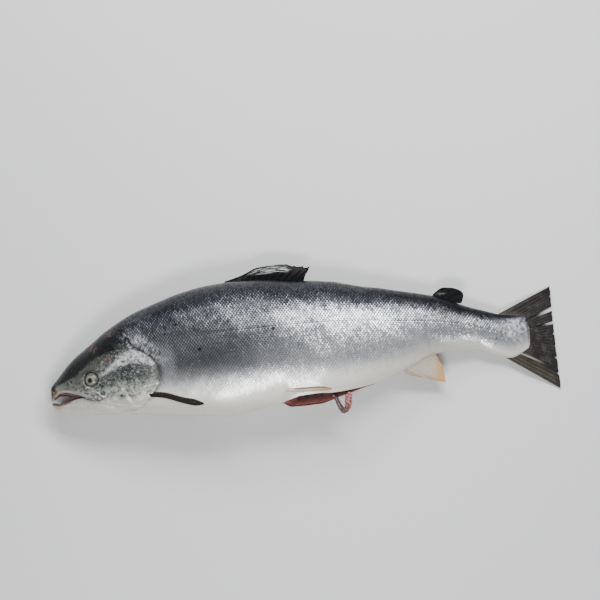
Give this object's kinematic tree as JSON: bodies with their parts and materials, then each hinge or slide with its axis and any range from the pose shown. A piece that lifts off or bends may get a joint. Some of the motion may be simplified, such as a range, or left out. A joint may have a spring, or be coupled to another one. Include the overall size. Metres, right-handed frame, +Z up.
{
  "type": "raw whole salmon",
  "caption": "Raw gutted whole salmon lying on its right side, with fins, gill covers, slightly open mouth and a cut along the belly.",
  "frame": {"origin": "middle of the footprint, on the surface that the fish lies on", "axes": "+X from the snout to the tail along the fish's length, +Y from the belly to the back, +Z up through the left flank"},
  "size_m": [0.7228, 0.2214, 0.0962],
  "materials": {
    "skin": "wet silver scaled skin, blue-black over the back and cream on the belly",
    "eye": "wet and clear, black pupil in a gold ring",
    "mouth": "wet pale pink",
    "dark_fin": "moist, fine rays",
    "pale_fin": "moist, fine rays, cream to tan",
    "flesh": "wet dark red",
    "gut": "wet pinkish red with a grey tip"
  },
  "bodies": {
    "root": {"body": "skin", "eye_left": "eye", "eye_right": "eye", "tongue": "mouth", "dorsal_fin": "dark_fin", "adipose_fin": "dark_fin", "tail_fin": "dark_fin", "anal_fin": "pale_fin", "pectoral_fin_left": "dark_fin", "pectoral_fin_right": "dark_fin", "pelvic_fin_left": "pale_fin", "pelvic_fin_right": "pale_fin", "belly_lining": "flesh", "gut_loop": "gut"}
  },
  "joints": []
}
